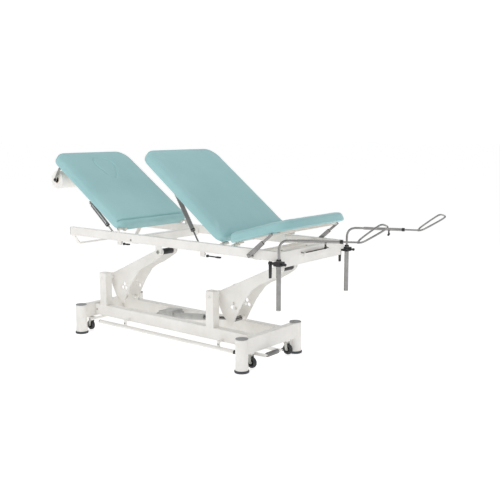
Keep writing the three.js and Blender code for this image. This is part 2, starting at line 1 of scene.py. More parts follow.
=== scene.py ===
"""Looks of the examination couch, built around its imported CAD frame. Metres, +Z up."""
import json
import math

import bmesh
import bpy
import numpy as np
from mathutils import Matrix, Vector


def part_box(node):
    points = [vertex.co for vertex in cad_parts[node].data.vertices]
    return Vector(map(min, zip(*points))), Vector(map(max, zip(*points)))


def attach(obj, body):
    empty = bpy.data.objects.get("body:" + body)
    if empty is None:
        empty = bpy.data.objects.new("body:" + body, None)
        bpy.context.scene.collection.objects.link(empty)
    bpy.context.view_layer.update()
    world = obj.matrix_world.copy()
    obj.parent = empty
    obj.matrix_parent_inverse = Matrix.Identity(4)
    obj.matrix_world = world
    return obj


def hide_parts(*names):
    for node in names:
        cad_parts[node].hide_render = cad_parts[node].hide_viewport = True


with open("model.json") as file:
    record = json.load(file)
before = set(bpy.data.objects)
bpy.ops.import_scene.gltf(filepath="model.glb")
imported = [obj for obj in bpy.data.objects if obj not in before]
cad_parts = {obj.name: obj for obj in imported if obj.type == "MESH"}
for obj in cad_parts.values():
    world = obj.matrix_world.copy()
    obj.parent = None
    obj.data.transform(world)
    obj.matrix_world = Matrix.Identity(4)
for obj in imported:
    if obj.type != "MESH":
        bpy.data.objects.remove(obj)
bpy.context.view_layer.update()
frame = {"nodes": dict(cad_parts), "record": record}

MM = 0.001

# ---------- places taken from the CAD ----------
ring_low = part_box("foot_ring_head_front")
ring_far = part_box("foot_ring_foot_back")
BASE_X = (ring_low[0].x + ring_far[1].x) / 2
BASE_Y = (ring_low[0].y + ring_far[1].y) / 2
JOINTS = {joint["name"]: joint for joint in frame["record"]["behaviour"]["joints"]}

# section angles, and where each pad lies along, across and above its hinge, in millimetres
SECTIONS = {
    "head": {"joint": "head_tilt", "turn": 34.0, "side": -1, "along": (-12, 755), "lift": -14},
    "back": {"joint": "back_tilt", "turn": 36.8, "side": -1, "along": (-8, 764), "lift": 12},
    "seat": {"joint": "seat_tilt", "turn": -15.3, "side": 1, "along": (-8, 404), "lift": 12},
}
PAD_HALF = 310
CREASE_AT = 48
CREASE_WIDTH = 5
CREASE_DEPTH = 12
CREASE_ROLL = 4
PAD_THICK = 55
PAD_CORNER = {"near": 58, "far": 95}


def at(x, y, z):
    """A point given in millimetres from the middle of the base, at floor height."""
    return Vector((BASE_X + x * MM, BASE_Y + y * MM, z * MM))


def section_frame(name):
    """Local frame of a section: origin on its hinge, Z along the pad's normal."""
    section = SECTIONS[name]
    hinge = Vector(JOINTS[section["joint"]]["pos_m"])
    hinge.y = BASE_Y
    return Matrix.Translation(hinge) @ Matrix.Rotation(math.radians(section["turn"]), 4, "Y")


# ---------- materials ----------
class Nodes:
    """A small helper that adds and links shader nodes."""

    def __init__(self, name):
        self.material = bpy.data.materials.new(name)
        self.material.use_nodes = True
        self.tree = self.material.node_tree
        self.shader = self.tree.nodes["Principled BSDF"]

    def add(self, kind, values=None, **settings):
        node = self.tree.nodes.new(kind)
        for key, value in settings.items():
            setattr(node, key, value)
        for key, value in (values or {}).items():
            node.inputs[key].default_value = value
        return node

    def link(self, a, b):
        self.tree.links.new(a, b)

    def place(self, stretch=(1, 1, 1)):
        """Object coordinates, stretched."""
        source = self.add("ShaderNodeTexCoord")
        mapping = self.add("ShaderNodeMapping", {"Scale": stretch})
        self.link(source.outputs["Object"], mapping.inputs["Vector"])
        return mapping.outputs["Vector"]

    def noise(self, where, scale, detail=3.0, rough=0.5):
        node = self.add(
            "ShaderNodeTexNoise", {"Scale": scale, "Detail": detail, "Roughness": rough})
        self.link(where, node.inputs["Vector"])
        return node.outputs["Fac"]

    def cells(self, where, scale, feature="F1"):
        node = self.add("ShaderNodeTexVoronoi", {"Scale": scale}, feature=feature)
        self.link(where, node.inputs["Vector"])
        return node.outputs["Distance"]

    def ramp(self, value, stops):
        node = self.add("ShaderNodeValToRGB")
        ramp = node.color_ramp
        while len(ramp.elements) < len(stops):
            ramp.elements.new(0.5)
        for element, (position, colour) in zip(ramp.elements, stops):
            element.position = position
            element.color = (*colour, 1)
        self.link(value, node.inputs["Fac"])
        return node.outputs["Color"]

    def span(self, value, low, high):
        node = self.add("ShaderNodeMapRange", {"To Min": low, "To Max": high})
        self.link(value, node.inputs["Value"])
        return node.outputs["Result"]

    def bump(self, height, distance, strength=1.0, under=None):
        node = self.add("ShaderNodeBump", {"Distance": distance, "Strength": strength})
        self.link(height, node.inputs["Height"])
        if under is not None:
            self.link(under, node.inputs["Normal"])
        return node.outputs["Normal"]

    def soft_edges(self, radius):
        return self.add("ShaderNodeBevel", {"Radius": radius}, samples=4).outputs["Normal"]

    def set(self, **values):
        for key, value in values.items():
            self.shader.inputs[key.replace("_", " ")].default_value = value

    def finish(self, colour=None, rough=None, normal=None):
        if colour is not None:
            self.link(colour, self.shader.inputs["Base Color"])
        if rough is not None:
            self.link(rough, self.shader.inputs["Roughness"])
        if normal is not None:
            self.link(normal, self.shader.inputs["Normal"])
        return self.material


def srgb(red, green, blue):
    """Linear colour of an sRGB colour from 0 to 255."""
    def linear(c):
        c = c / 255
        return c / 12.92 if c <= 0.04045 else ((c + 0.055) / 1.055) ** 2.4
    return (linear(red), linear(green), linear(blue))


def powder_coat(name, light, shade):
    """White powder coat: fine orange peel, faint dust and handling marks."""
    n = Nodes(name)
    where = n.place()
    blotches = n.noise(where, 7.0, 5.0, 0.6)
    colour = n.ramp(blotches, [(0.3, srgb(*shade)), (0.62, srgb(*light))])
    rough = n.span(n.noise(where, 45.0, 4.0), 0.3, 0.46)
    peel = n.bump(n.noise(where, 900.0, 2.0), 0.0001, 0.35, n.soft_edges(0.0018))
    n.set(Specular_IOR_Level=0.5, Coat_Weight=0.15, Coat_Roughness=0.2)
    return n.finish(colour, rough, peel)


def vinyl_cover(name, light, shade):
    """Upholstery vinyl: a pebbled grain and fine pores over faint slack in the cover."""
    n = Nodes(name)
    where = n.place()
    tone = n.ramp(n.noise(where, 3.0, 4.0, 0.55), [(0.3, srgb(*shade)), (0.7, srgb(*light))])
    grain = n.cells(where, 620.0)
    pores = n.noise(where, 1500.0, 2.0)
    rough = n.span(n.noise(where, 30.0, 3.0), 0.4, 0.56)
    slack = n.bump(n.noise(n.place((1.0, 0.35, 1.0)), 11.0, 2.0), 0.0016, 0.35)
    pebble = n.bump(grain, 0.00025, 0.4, slack)
    fine = n.bump(pores, 0.0001, 0.25, pebble)
    n.set(Sheen_Weight=0.12, Sheen_Roughness=0.4, Specular_IOR_Level=0.42)
    return n.finish(tone, rough, fine)


def bright_metal(name, tint, low, high, stretch, edge=0.0008):
    """Plated or brushed metal; the stretch sets which way its fine lines run."""
    n = Nodes(name)
    where = n.place(stretch)
    smears = n.noise(n.place(), 22.0, 4.0)
    dark = tuple(c * 0.86 for c in tint)
    colour = n.ramp(smears, [(0.3, srgb(*dark)), (0.7, srgb(*tint))])
    rough = n.span(n.noise(where, 160.0, 4.0), low, high)
    lines = n.bump(n.noise(where, 420.0, 2.0), 0.00005, 0.25, n.soft_edges(edge))
    n.set(Metallic=1.0)
    return n.finish(colour, rough, lines)


def moulded(name, light, shade, low=0.38, high=0.55, grain=1100.0, edge=0.001):
    """Moulded plastic or rubber with a spark-eroded grain."""
    n = Nodes(name)
    where = n.place()
    colour = n.ramp(n.noise(where, 26.0, 4.0), [(0.32, srgb(*shade)), (0.68, srgb(*light))])
    rough = n.span(n.noise(where, 60.0, 3.0), low, high)
    skin = n.bump(n.noise(where, grain, 2.0), 0.00012, 0.5, n.soft_edges(edge))
    return n.finish(colour, rough, skin)


def laminate(name):
    """Pale laminated board: a faint long grain under a satin skin."""
    n = Nodes(name)
    grain = n.noise(n.place((1.0, 9.0, 1.0)), 16.0, 6.0, 0.62)
    colour = n.ramp(grain, [
        (0.25, srgb(214, 210, 202)), (0.5, srgb(224, 221, 214)), (0.75, srgb(231, 228, 222))])
    rough = n.span(n.noise(n.place(), 40.0, 3.0), 0.45, 0.62)
    return n.finish(colour, rough, n.bump(grain, 0.0002, 0.3, n.soft_edges(0.0008)))


def paper_cover(name):
    """Soft white tissue paper, with a fine crepe."""
    n = Nodes(name)
    where = n.place((1.0, 0.3, 1.0))
    crepe = n.noise(where, 700.0, 3.0)
    colour = n.ramp(n.noise(n.place(), 9.0, 4.0), [
        (0.3, srgb(233, 231, 226)), (0.7, srgb(247, 246, 243))])
    n.set(Roughness=0.92, Sheen_Weight=0.1)
    return n.finish(colour, None, n.bump(crepe, 0.0003, 0.4))


WHITE = powder_coat("white_powder_coat", (243, 241, 237), (233, 230, 225))
VINYL = vinyl_cover("teal_vinyl", (164, 206, 209), (153, 197, 200))
CHROME = bright_metal("polished_chrome", (158, 157, 156), 0.1, 0.24, (1, 1, 1))
STEEL = bright_metal("brushed_steel", (150, 150, 150), 0.22, 0.4, (1, 1, 14))
ZINC = bright_metal("zinc_plate", (186, 186, 180), 0.28, 0.5, (1, 1, 1))
BLACK = moulded("black_plastic", (34, 34, 36), (22, 22, 24))
GREY = moulded("grey_plastic", (196, 196, 194), (182, 182, 181), 0.45, 0.62)
CAP = moulded("grey_cap_plastic", (164, 165, 166), (150, 151, 153), 0.5, 0.65)
DARK_RUBBER = moulded("dark_rubber", (84, 87, 89), (68, 71, 74), 0.7, 0.88, 800.0)
TYRE = moulded("tyre_rubber", (66, 67, 69), (50, 51, 53), 0.62, 0.85, 900.0)
PEDAL = moulded("pedal_rubber", (152, 152, 151), (132, 132, 132), 0.6, 0.8, 800.0)
BOARD = laminate("pale_laminate")
PAPER = paper_cover("tissue_paper")
CARD = moulded("card_core", (186, 168, 146), (160, 142, 120), 0.8, 0.95, 600.0)

SLOT_LOOKS = {
    "white_paint": WHITE, "vinyl": VINYL, "pale_board": BOARD, "chrome": CHROME,
    "spring_steel": STEEL, "black_plastic": BLACK, "grey_plastic": GREY,
    "dark_rubber": DARK_RUBBER, "tyre_rubber": TYRE, "zinc": ZINC, "paper": PAPER,
}
SMOOTH_BELOW = math.radians(40)
for row in frame["record"]["subparts"]:
    node = frame["nodes"][row["node"]]
    node.data.materials.clear()
    node.data.materials.append(SLOT_LOOKS[row["material_slot"]])
    node.data.polygons.foreach_set("use_smooth", [True] * len(node.data.polygons))
    node.data.set_sharp_from_angle(angle=SMOOTH_BELOW)


# ---------- piece helpers ----------
def piece(name, mesh, look, body):
    obj = bpy.data.objects.new(name, mesh)
    bpy.context.scene.collection.objects.link(obj)
    mesh.materials.clear()
    mesh.materials.append(look)
    mesh.polygons.foreach_set("use_smooth", [True] * len(mesh.polygons))
    mesh.set_sharp_from_angle(angle=SMOOTH_BELOW)
    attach(obj, body)
    return obj


def mesh_from(points, faces, name):
    mesh = bpy.data.meshes.new(name)
    mesh.from_pydata([tuple(p) for p in points], [], faces)
    mesh.validate()
    mesh.update()
    return mesh


def stacked_faces(rows, count):
    """Faces of a closed stack of rings, with a cap at each end."""
    faces = []
    for row in range(rows - 1):
        for k in range(count):
            nxt = (k + 1) % count
            faces.append((
                row * count + k, row * count + nxt,
                (row + 1) * count + nxt, (row + 1) * count + k))
    faces.append(tuple(reversed(range(count))))
    faces.append(tuple((rows - 1) * count + k for k in range(count)))
    return faces


def smooth_closed(corners, steps):
    """A closed Catmull-Rom curve through corners given as pairs."""
    points = []
    count = len(corners)
    for k in range(count):
        a, b, c, d = (Vector(corners[(k + j - 1) % count]) for j in range(4))
        for s in range(steps):
            t = s / steps
            points.append(0.5 * (
                2 * b + (c - a) * t + (2 * a - 5 * b + 4 * c - d) * t * t
                + (3 * b - a - 3 * c + d) * t ** 3))
    return points


def frame_along(direction):
    """A rotation whose Z axis lies along the direction."""
    return Vector(direction).to_track_quat("Z", "Y").to_matrix().to_4x4()


def turned(name, profile, centre, direction, look, body, sides=40):
    """A lathe-turned piece: profile rows are (radius, height) in millimetres along direction."""
    points = []
    for radius, height in profile:
        for k in range(sides):
            angle = 2 * math.pi * k / sides
            points.append(Vector((
                radius * math.cos(angle), radius * math.sin(angle), height)) * MM)
    faces = stacked_faces(len(profile), sides)
    place = Matrix.Translation(centre) @ frame_along(direction)
    mesh = mesh_from([place @ p for p in points], faces, name)
    return piece(name, mesh, look, body)


def block(name, low, high, radius, look, body):
    """A box with rounded edges, between two corners in millimetres."""
    bm = bmesh.new()
    bmesh.ops.create_cube(bm, size=1)
    size = [high[k] - low[k] for k in range(3)]
    middle = [(high[k] + low[k]) / 2 for k in range(3)]
    for vert in bm.verts:
        vert.co = Vector([(vert.co[k] * size[k] + middle[k]) * MM for k in range(3)])
    bmesh.ops.bevel(
        bm, geom=list(bm.edges), offset=radius * MM, segments=3, profile=0.5, affect="EDGES")
    mesh = bpy.data.meshes.new(name)
    bm.to_mesh(mesh)
    bm.free()
    mesh.transform(Matrix.Translation(at(0, 0, 0)))
    return piece(name, mesh, look, body)


def tube_along(name, points, radius, look, body, cyclic=False, sides=8):
    """A round rod swept along points given in metres."""
    curve = bpy.data.curves.new(name, "CURVE")
    curve.dimensions = "3D"
    curve.bevel_depth = radius * MM
    curve.bevel_resolution = sides
    curve.use_fill_caps = True
    spline = curve.splines.new("POLY")
    spline.points.add(len(points) - 1)
    for control, p in zip(spline.points, points):
        control.co = (*p, 1)
    spline.use_cyclic_u = cyclic
    holder = bpy.data.objects.new(name + "_line", curve)
    bpy.context.scene.collection.objects.link(holder)
    bpy.context.view_layer.update()
    graph = bpy.context.evaluated_depsgraph_get()
    mesh = bpy.data.meshes.new_from_object(holder.evaluated_get(graph))
    bpy.data.objects.remove(holder)
    return piece(name, mesh, look, body)


def dome_bolt(name, centre, direction, radius, look, body):
    """A domed screw head on a thin washer."""
    r = radius
    profile = [
        (r * 1.35, 0.0), (r * 1.35, 1.0), (r * 1.02, 1.2), (r, 1.4), (r * 0.97, r * 0.3),
        (r * 0.8, r * 0.52), (r * 0.55, r * 0.64), (r * 0.4, r * 0.66), (r * 0.38, r * 0.3),
    ]
    return turned(name, profile, centre, direction, look, body, 24)


# ---------- upholstery ----------
CLOTH_FRAMES = 20
CLOTH_PRESSURE = 4
SLACK = 2.5                      # how far inside the pad's outline a cushion starts
CUSHION_GRID = 7                 # size of the cushions' mesh before it is divided once


def plan_outline(x, half, corners, inset, arc=7):
    """Corner-rounded outline between x[0] and x[1], pulled in by inset; one radius at each end."""
    low_radius, high_radius = (max(corner - inset, 1.0) for corner in corners)
    low, high = x[0] + inset + low_radius, x[1] - inset - high_radius
    low_side, high_side = half - inset - low_radius, half - inset - high_radius
    centres = [
        (high, -high_side, -90, high_radius), (high, high_side, 0, high_radius),
        (low, low_side, 90, low_radius), (low, -low_side, 180, low_radius)]
    points = []
    for cx, cy, start, radius in centres:
        for k in range(arc + 1):
            angle = math.radians(start + 90 * k / arc)
            points.append((cx + radius * math.cos(angle), cy + radius * math.sin(angle)))
    return points


def slab(name, outline, low, high, bottom_round, top_round):
    """A closed pad form from stacked outlines, with a small lower and a large upper round."""
    rings = []
    for k in range(4):
        angle = math.radians(90 * k / 3)
        rings.append((bottom_round * (1 - math.sin(angle)), low + bottom_round * (1 - math.cos(angle))))
    for k in range(6):
        angle = math.radians(90 * k / 5)
        rings.append((top_round * (1 - math.cos(angle)), high - top_round * (1 - math.sin(angle))))
    points = []
    for inset, z in rings:
        points += [(px, py, z) for px, py in outline(inset + SLACK)]
    faces = stacked_faces(len(rings), len(points) // len(rings))
    return mesh_from([Vector(p) * MM for p in points], faces, name)


def applied(obj):
    """Replaces the object's mesh by what its modifiers make of it."""
    bpy.context.view_layer.update()
    graph = bpy.context.evaluated_depsgraph_get()
    mesh = bpy.data.meshes.new_from_object(obj.evaluated_get(graph))
    obj.modifiers.clear()
    obj.data = mesh
    return obj


def positions(mesh):
    co = np.zeros(len(mesh.vertices) * 3)
    mesh.vertices.foreach_get("co", co)
    return co.reshape(-1, 3)


def set_positions(mesh, co):
    mesh.vertices.foreach_set("co", co.reshape(-1))
    mesh.update()


def inflate(obj, floor_z, cap):
    """Swells the foam under its cover with cloth pressure; the underside stays on its board."""
    before = positions(obj.data)
    pinned = obj.vertex_groups.new(name="on_board")
    held = [int(k) for k in np.nonzero(before[:, 2] < floor_z + 6 * MM)[0]]
    pinned.add(held, 1.0, "REPLACE")
    cloth = obj.modifiers.new("cover", "CLOTH")
    cloth.settings.use_pressure = True
    cloth.settings.uniform_pressure_force = CLOTH_PRESSURE
    cloth.settings.quality = 4
    cloth.settings.mass = 0.3
    cloth.settings.tension_stiffness = 25
    cloth.settings.compression_stiffness = 25
    cloth.settings.bending_stiffness = 2
    cloth.settings.vertex_group_mass = "on_board"
    cloth.settings.effector_weights.gravity = 0
    cloth.collision_settings.use_self_collision = False
    cloth.point_cache.frame_start = 1
    cloth.point_cache.frame_end = CLOTH_FRAMES
    for step in range(1, CLOTH_FRAMES + 1):
        bpy.context.scene.frame_set(step)
    graph = bpy.context.evaluated_depsgraph_get()
    after = positions(obj.evaluated_get(graph).data)
    obj.modifiers.clear()
    obj.vertex_groups.clear()
    bpy.context.scene.frame_set(1)
    move = after - before
    length = np.linalg.norm(move, axis=1)
    share = np.minimum(1.0, cap / np.maximum(length, 1e-9))
    set_positions(obj.data, before + move * share[:, None])


def crown(mesh, x, half, top, rise):
    """Raises the upper face into a low crown towards the middle of the pad."""
    co = positions(mesh)
    u = np.clip((co[:, 0] / MM - x[0]) / (x[1] - x[0]), 0, 1)
    v = np.clip(co[:, 1] / MM / half, -1, 1)
    hill = np.clip(4 * u * (1 - u), 0, 1) ** 0.45 * np.clip(1 - v * v, 0, 1) ** 0.45
    level = np.clip((co[:, 2] / MM - (top - 30)) / 30, 0, 1)
    co[:, 2] += hill * level * rise * MM
    set_positions(mesh, co)


def crease(mesh, near_x, side, top):
    """Presses a sewn crease across the pad near its hinge and lifts the roll beyond it."""
    co = positions(mesh)
    inward = (co[:, 0] / MM - near_x) * side
    upper = np.clip((co[:, 2] / MM - (top - 26)) / 16, 0, 1)
    ends = np.clip((PAD_HALF - 4 - np.abs(co[:, 1] / MM)) / 30, 0, 1)
    groove = np.exp(-((inward - CREASE_AT) / CREASE_WIDTH) ** 2) * CREASE_DEPTH
    roll = np.clip(1 - np.abs(inward - CREASE_AT * 0.45) / (CREASE_AT * 0.5), 0, 1) * CREASE_ROLL
    co[:, 2] += (roll - groove * ends) * upper * MM
    set_positions(mesh, co)


def make_pad(name, cap=4.5):
    """A crowned pad over the CAD section of that name."""
    section = SECTIONS[name]
    near, far = section["along"]
    side = section["side"]
    x = (near, far) if side > 0 else (-far, -near)
    low, top = section["lift"] + 1.5, section["lift"] + PAD_THICK - 2.5

    ends = ("near", "far") if side > 0 else ("far", "near")
    corners = [PAD_CORNER[end] for end in ends]

    def outline(inset):
        return plan_outline(x, PAD_HALF, corners, inset)

    mesh = slab(f"{name}_cushion", outline, low, top, 9, 22)
    obj = bpy.data.objects.new(f"{name}_cushion", mesh)
    bpy.context.scene.collection.objects.link(obj)
    remesh = obj.modifiers.new("grid", "REMESH")
    remesh.mode = "VOXEL"
    remesh.voxel_size = CUSHION_GRID * MM
    remesh.use_smooth_shade = True
    applied(obj)
    inflate(obj, low * MM, cap * MM)
    crown(obj.data, x, PAD_HALF, top, 2.0)
    smooth = obj.modifiers.new("settle", "SMOOTH")
    smooth.factor = 0.5
    smooth.iterations = 2
    applied(obj)
    divide = obj.modifiers.new("fine", "SUBSURF")
    divide.levels = 1
    divide.render_levels = 1
    applied(obj)
    if name == "head":
        crease(obj.data, x[1], -1, top)
    return obj


def settle(obj, name, node):
    """Puts a finished pad in its section's frame and lets it ride and stand for its CAD solid."""
    body = "face_plug" if name == "face_plug" else f"{name}_section"
    local = section_frame("head" if name == "face_plug" else name)
    obj.data.transform(local)
    obj.data.materials.clear()
    obj.data.materials.append(VINYL)
    obj.data.polygons.foreach_set("use_smooth", [True] * len(obj.data.polygons))
    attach(obj, body)
    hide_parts(node)
    return obj


PLUG_CORNERS = [(432, -14), (568, -60), (642, -44), (658, 15), (612, 85), (547, 73)]
PLUG_CENTRE = (-570, 10)


def plug_outline(inset, steps=12):
    """The face plug's outline: a closed smooth curve through its corners, pulled in by inset."""
    centre = Vector(PLUG_CENTRE)
    points = []
    for p in smooth_closed([(-u, y) for u, y in PLUG_CORNERS], steps):
        p = p - (p - centre).normalized() * inset
        points.append((p.x, p.y))
    return points


def cut_plug_hole(obj):
    """Rolls the cover in around the face plug, then opens the hole right through."""
    edge = np.array(plug_outline(0)) * MM
    co = positions(obj.data)
    top = co[:, 2] > (SECTIONS["head"]["lift"] + 30) * MM
    gap = np.full(len(co), 1.0)
    for p in edge:
        gap = np.minimum(gap, np.hypot(co[:, 0] - p[0], co[:, 1] - p[1]))
    dip = np.exp(-(gap / (7 * MM)) ** 2) * 5.0 * MM
    co[:, 2] -= np.where(top, dip, 0)
    set_positions(obj.data, co)
    outline = plug_outline(-2.2)
    count = len(outline)
    points = [(px * MM, py * MM, -60 * MM) for px, py in outline]
    points += [(px * MM, py * MM, 90 * MM) for px, py in outline]
    faces = [(k, (k + 1) % count, count + (k + 1) % count, count + k) for k in range(count)]
    faces.append(tuple(reversed(range(count))))
    faces.append(tuple(range(count, 2 * count)))
    cutter = bpy.data.objects.new("plug_cutter", mesh_from(points, faces, "plug_cutter"))
    bpy.context.scene.collection.objects.link(cutter)
    opening = obj.modifiers.new("opening", "BOOLEAN")
    opening.operation = "DIFFERENCE"
    opening.solver = "EXACT"
    opening.object = cutter
    applied(obj)
    bpy.data.objects.remove(cutter)


def make_plug():
    """The face plug: the same outline, a soft rolled edge and a low crown."""
    low = SECTIONS["head"]["lift"] + 12
    top = SECTIONS["head"]["lift"] + PAD_THICK - 1.5
    rings = [(3, low), (1, low + 2), (0.6, low + 5), (0.6, top - 9)]
    for k in range(1, 6):
        angle = math.radians(90 * k / 5)
        rings.append((0.6 + 8 * (1 - math.cos(angle)), top - 9 + 8 * math.sin(angle)))
    points, count = [], 0
    for inset, z in rings:
        outline = plug_outline(inset + 0.4)
        count = len(outline)
        points += [(px, py, z) for px, py in outline]
    last = points[-count:]
    for share, rise in ((0.75, 1.2), (0.5, 2.0), (0.25, 2.4)):
        points += [(
            PLUG_CENTRE[0] + (px - PLUG_CENTRE[0]) * share,
            PLUG_CENTRE[1] + (py - PLUG_CENTRE[1]) * share, z + rise) for px, py, z in last]
    faces = stacked_faces(len(points) // count, count)
    mesh = mesh_from([Vector(p) * MM for p in points], faces, "face_plug_cushion")
    obj = bpy.data.objects.new("face_plug_cushion", mesh)
    bpy.context.scene.collection.objects.link(obj)
    return obj


head_cushion = make_pad("head")
cut_plug_hole(head_cushion)
settle(head_cushion, "head", "head_pad")
settle(make_pad("back"), "back", "back_pad")
settle(make_pad("seat"), "seat", "seat_pad")
settle(make_plug(), "face_plug", "face_plug")

# ---------- base details ----------
UP = (0, 0, 1)
COLUMN_X, COLUMN_Y, COLUMN_TOP = 675, 251, 188
WHEEL_X, WHEEL_Y, WHEEL_Z = 680, 170, 38
RAIL_FACE_Y = 148                # outer face of the base rails and their posts
LOWER_PIVOTS = (("head", -577), ("foot", 350))
LOWER_PIVOT_Z = 358
POST_TOP_Z = 391.6
CONTROL_BAR_HALF, CONTROL_BAR_Y, CONTROL_BAR_Z = 567, -185, 80
for end_name, end in (("head", -1), ("foot", 1)):
    for side_name, side in (("front", -1), ("back", 1)):
        tag = f"{end_name}_{side_name}"
        column_top = at(end * COLUMN_X, side * COLUMN_Y, COLUMN_TOP)
        turned(
            f"column_cap_{tag}",
            [(32, 0.1), (35.4, 0.1), (35.6, 1.2), (34.6, 2.6), (31, 3.4), (29.5, 3.0), (28, 3.4),
             (6, 4.2), (0.5, 4.3)],
            column_top, UP, CAP, "base", 48)

        # wheel: a rubber tread on a grey hub with a raised centre
        wheel_centre = at(end * WHEEL_X, side * WHEEL_Y, WHEEL_Z)
        tread = [(18, -9.6), (24, -10), (28.5, -9.2), (31.2, -6.4), (32, -2.4), (32, 2.4),
                 (31.2, 6.4), (28.5, 9.2), (24, 10), (18, 9.6), (18, -9.6)]
        tyre = turned(
            f"wheel_tread_{tag}", tread, wheel_centre, (0, 1, 0), TYRE, f"wheel_{tag}",
            48)
        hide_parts(f"castor_wheel_{tag}")
        hub = [(4.6, -10.6), (8.5, -10.6), (9.5, -9.2), (15, -7.4), (17.9, -9.0), (17.9, 9.0),
               (15, 7.4), (9.5, 9.2), (8.5, 10.6), (4.6, 10.6)]
        turned(
            f"wheel_hub_{tag}", hub, wheel_centre, (0, 1, 0), GREY, f"wheel_{tag}",
            40)
        for half in (-1, 1):
            dome_bolt(
                f"axle_nut_{tag}_{'in' if half * side < 0 else 'out'}",
                at(end * WHEEL_X, side * WHEEL_Y + half * 15, WHEEL_Z), (0, half, 0), 3.4,
                ZINC, f"fork_{tag}")

for side_name, side in (("front", -1), ("back", 1)):
    for tag, x in LOWER_PIVOTS:
        dome_bolt(
            f"pivot_bolt_{tag}_{side_name}", at(x, side * RAIL_FACE_Y, LOWER_PIVOT_Z), (0, side, 0), 7,
            WHITE, "base")
        block(
            f"post_plug_{tag}_{side_name}", (x - 28, side * 123 - 23, POST_TOP_Z),
            (x + 28, side * 123 + 23, POST_TOP_Z + 3), 1.2, WHITE, "base")
    for x, tag in ((-640, "head"), (640, "foot")):
        dome_bolt(
            f"rail_screw_{tag}_{side_name}", at(x, side * RAIL_FACE_Y, 145), (0, side, 0), 4.5,
            ZINC, "base")

for x, tag in ((-330, "head"), (450, "foot")):
    dome_bolt(
        f"hanger_screw_{tag}", at(x, -189, 104), (0, -1, 0), 4.5, ZINC, "control_bar")
for end, tag in ((-1, "head"), (1, "foot")):
    turned(
        f"control_bar_plug_{tag}", [(12.4, 0), (12.6, 2), (11.5, 5), (8, 7), (0.5, 7.6)],
        at(end * CONTROL_BAR_HALF, CONTROL_BAR_Y, CONTROL_BAR_Z), (end, 0, 0), BLACK,
        "control_bar", 32)

# ---------- castor pedal ----------
PEDAL_X, PEDAL_Z = 747, 81
sleeve = [(6.3, 0), (11, 0), (13.5, 2)]
for k in range(16):
    start = 5 + k * 5.6
    sleeve += [(13.6, start), (13.6, start + 3.6), (12.4, start + 4.2), (12.4, start + 5.0)]
sleeve += [(13.5, 98), (11, 100), (6.3, 100)]
turned(
    "pedal_sleeve", sleeve, at(PEDAL_X, -120, PEDAL_Z), (0, 1, 0), PEDAL, "carrier_foot",
    36)
turned(
    "pedal_end_knob", [(6.2, 0), (8.5, 0), (9, 2), (9, 9), (7, 12), (0.5, 13)],
    at(PEDAL_X, 22.2, PEDAL_Z), (0, 1, 0), BLACK, "carrier_foot", 30)

# ---------- lift details ----------
ARM_LENGTH, ARM_ANGLE = 485, math.radians(25)
arm_rise = (ARM_LENGTH * math.cos(ARM_ANGLE), ARM_LENGTH * math.sin(ARM_ANGLE))
for tag, base_x in LOWER_PIVOTS:
    top = (base_x + arm_rise[0], LOWER_PIVOT_Z + arm_rise[1])
    turned(
        f"pivot_sleeve_{tag}", [(13.4, -44), (18, -44), (19, -42), (19, 42), (18, 44), (13.4, 44)],
        at(top[0], 0, top[1]), (0, 1, 0), BLACK, "upper_frame", 36)
    for side_name, side in (("front", -1), ("back", 1)):
        dome_bolt(
            f"upper_bolt_{tag}_{side_name}", at(top[0], side * 78, top[1]), (0, side, 0), 8.5,
            ZINC, "upper_frame")

# ---------- upper frame details ----------
for side_name, side in (("front", -1), ("back", 1)):
    block(
        f"rail_plug_{side_name}", (-700, side * 284 - 15, 650), (-696.9, side * 284 + 15, 700),
        1.0, BLACK, "upper_frame")
    for x in (-137, 790):
        dome_bolt(
            f"cross_bolt_{'head' if x < 0 else 'foot'}_{side_name}",
            at(x, side * 299, 664), (0, side, 0), 5.5, ZINC, "upper_frame")
    turned(
        f"head_hinge_cap_{side_name}", [(7.2, 0), (7.6, 0.6), (7.6, 2.4), (6, 3.6), (0.5, 4.2)],
        at(-246, side * 299, 722), (0, side, 0), ZINC, "upper_frame", 30)
    turned(
        f"strut_foot_cap_{side_name}", [(5.2, -1), (9, -1), (9.4, 0.4), (8, 2.2), (0.5, 3)],
        at(775, side * 316.4, 668), (0, side, 0), CHROME, f"strut_channel_{side_name}", 30)
    block(
        f"guide_strip_{side_name}", (838, side * 117 - 4, 676.2), (988, side * 117 + 4, 679),
        1.0, BLACK, "upper_frame")
block(
    "guide_stop", (983.5, -96, 676.2), (994, 96, 680), 1.4, BLACK, "upper_frame")

# ---------- board fixings ----------
for name in ("head", "back", "seat"):
    section = SECTIONS[name]
    local = section_frame(name)
    length = section["along"][1]
    normal = local.to_3x3() @ Vector((0, 0, -1))
    rows = (90, length - 110) if name == "seat" else (90, length / 2, length - 110)
    for row, u in enumerate(rows):
        for side_name, side in (("front", -1), ("back", 1)):
            spot = local @ (Vector((section["side"] * u, side * 190, section["lift"] - 0.05)) * MM)
            dome_bolt(
                f"board_screw_{name}_{row}_{side_name}", spot, normal, 4.0, ZINC,
                f"{name}_section")

